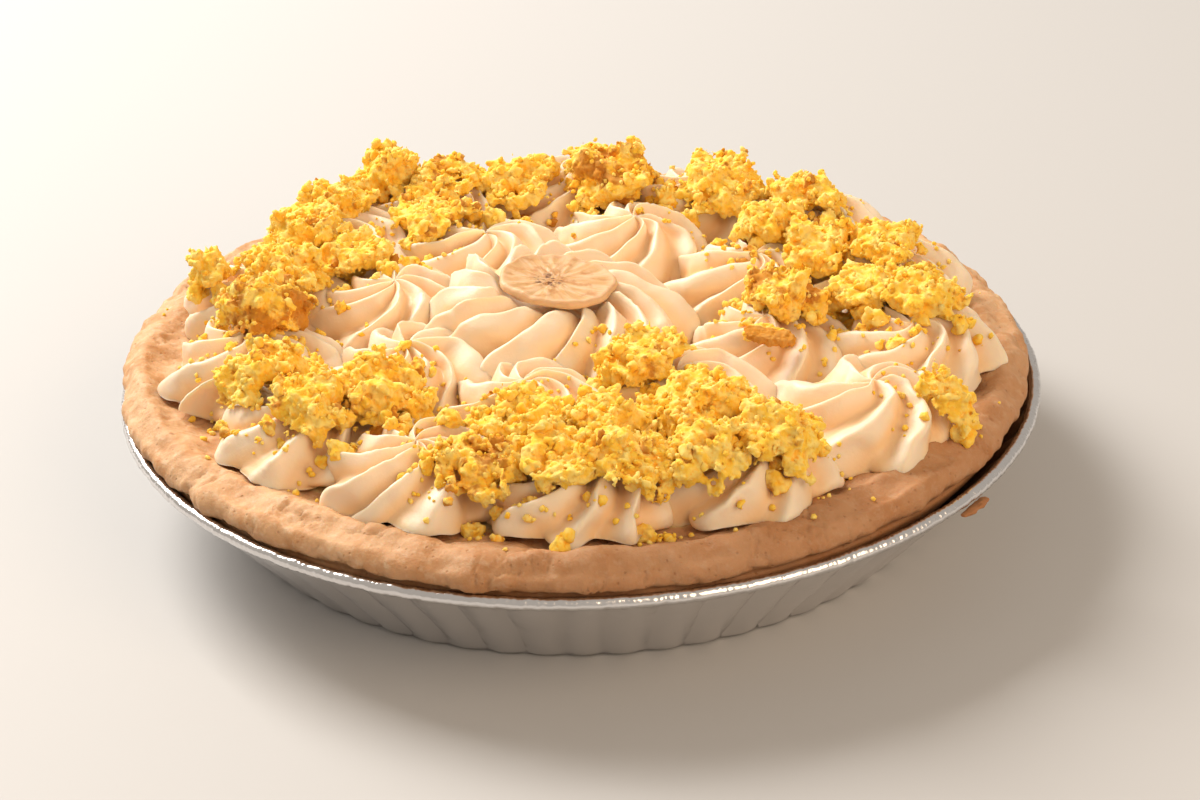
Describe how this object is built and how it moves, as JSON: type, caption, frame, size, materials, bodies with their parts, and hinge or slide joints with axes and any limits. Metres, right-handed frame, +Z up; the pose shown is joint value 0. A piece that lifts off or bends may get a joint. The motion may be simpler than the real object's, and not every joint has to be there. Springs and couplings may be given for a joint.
{
  "type": "banana cream pie",
  "caption": "Round banana cream pie in a foil pan, with piped whipped cream rosettes, crumbled yellow cake and a dried banana slice.",
  "frame": {"origin": "middle of the pan's underside, on the surface that the pie stands on", "axes": "+Z up, -Y towards the viewer, +X to the viewer's right"},
  "size_m": [0.2444, 0.2444, 0.067],
  "materials": {
    "foil": "bright rolled foil with fine creases",
    "crust": "matt baked shortcrust pastry, uneven and lightly browned",
    "cream": "smooth satin whipped cream, slightly translucent",
    "banana": "dry wrinkled banana slice with dark seeds",
    "cake": "dry porous cake crumb with browned bits"
  },
  "bodies": {
    "root": {"banana_chip": "banana", "cake_clump_01": "cake", "cake_clump_02": "cake", "cake_clump_03": "cake", "cake_clump_04": "cake", "cake_clump_05": "cake", "cake_clump_06": "cake", "cake_clump_07": "cake", "cake_clump_08": "cake", "cake_clump_09": "cake", "cake_clump_10": "cake", "cake_clump_11": "cake", "cake_clump_12": "cake", "cake_clump_13": "cake", "cake_clump_14": "cake", "cake_clump_15": "cake", "cake_clump_16": "cake", "cake_clump_17": "cake", "cake_clump_18": "cake", "cake_clump_19": "cake", "cake_clump_20": "cake", "cake_clump_21": "cake", "cake_clump_22": "cake", "cake_clump_23": "cake", "cake_clump_24": "cake", "cake_clump_25": "cake", "cake_clump_26": "cake", "cake_clump_27": "cake", "cake_clump_28": "cake", "cake_clump_29": "cake", "cake_clump_30": "cake", "cake_clump_31": "cake", "cake_clump_32": "cake", "cake_flake": "cake", "crust": "crust", "foil_pan": "foil", "pastry_drip": "crust", "rosette_centre": "cream", "rosette_inner_1": "cream", "rosette_inner_2": "cream", "rosette_inner_3": "cream", "rosette_inner_4": "cream", "rosette_inner_5": "cream", "rosette_inner_6": "cream", "rosette_inner_7": "cream", "rosette_inner_8": "cream", "rosette_outer_1": "cream", "rosette_outer_10": "cream", "rosette_outer_11": "cream", "rosette_outer_12": "cream", "rosette_outer_13": "cream", "rosette_outer_14": "cream", "rosette_outer_2": "cream", "rosette_outer_3": "cream", "rosette_outer_4": "cream", "rosette_outer_5": "cream", "rosette_outer_6": "cream", "rosette_outer_7": "cream", "rosette_outer_8": "cream", "rosette_outer_9": "cream"}
  },
  "joints": []
}
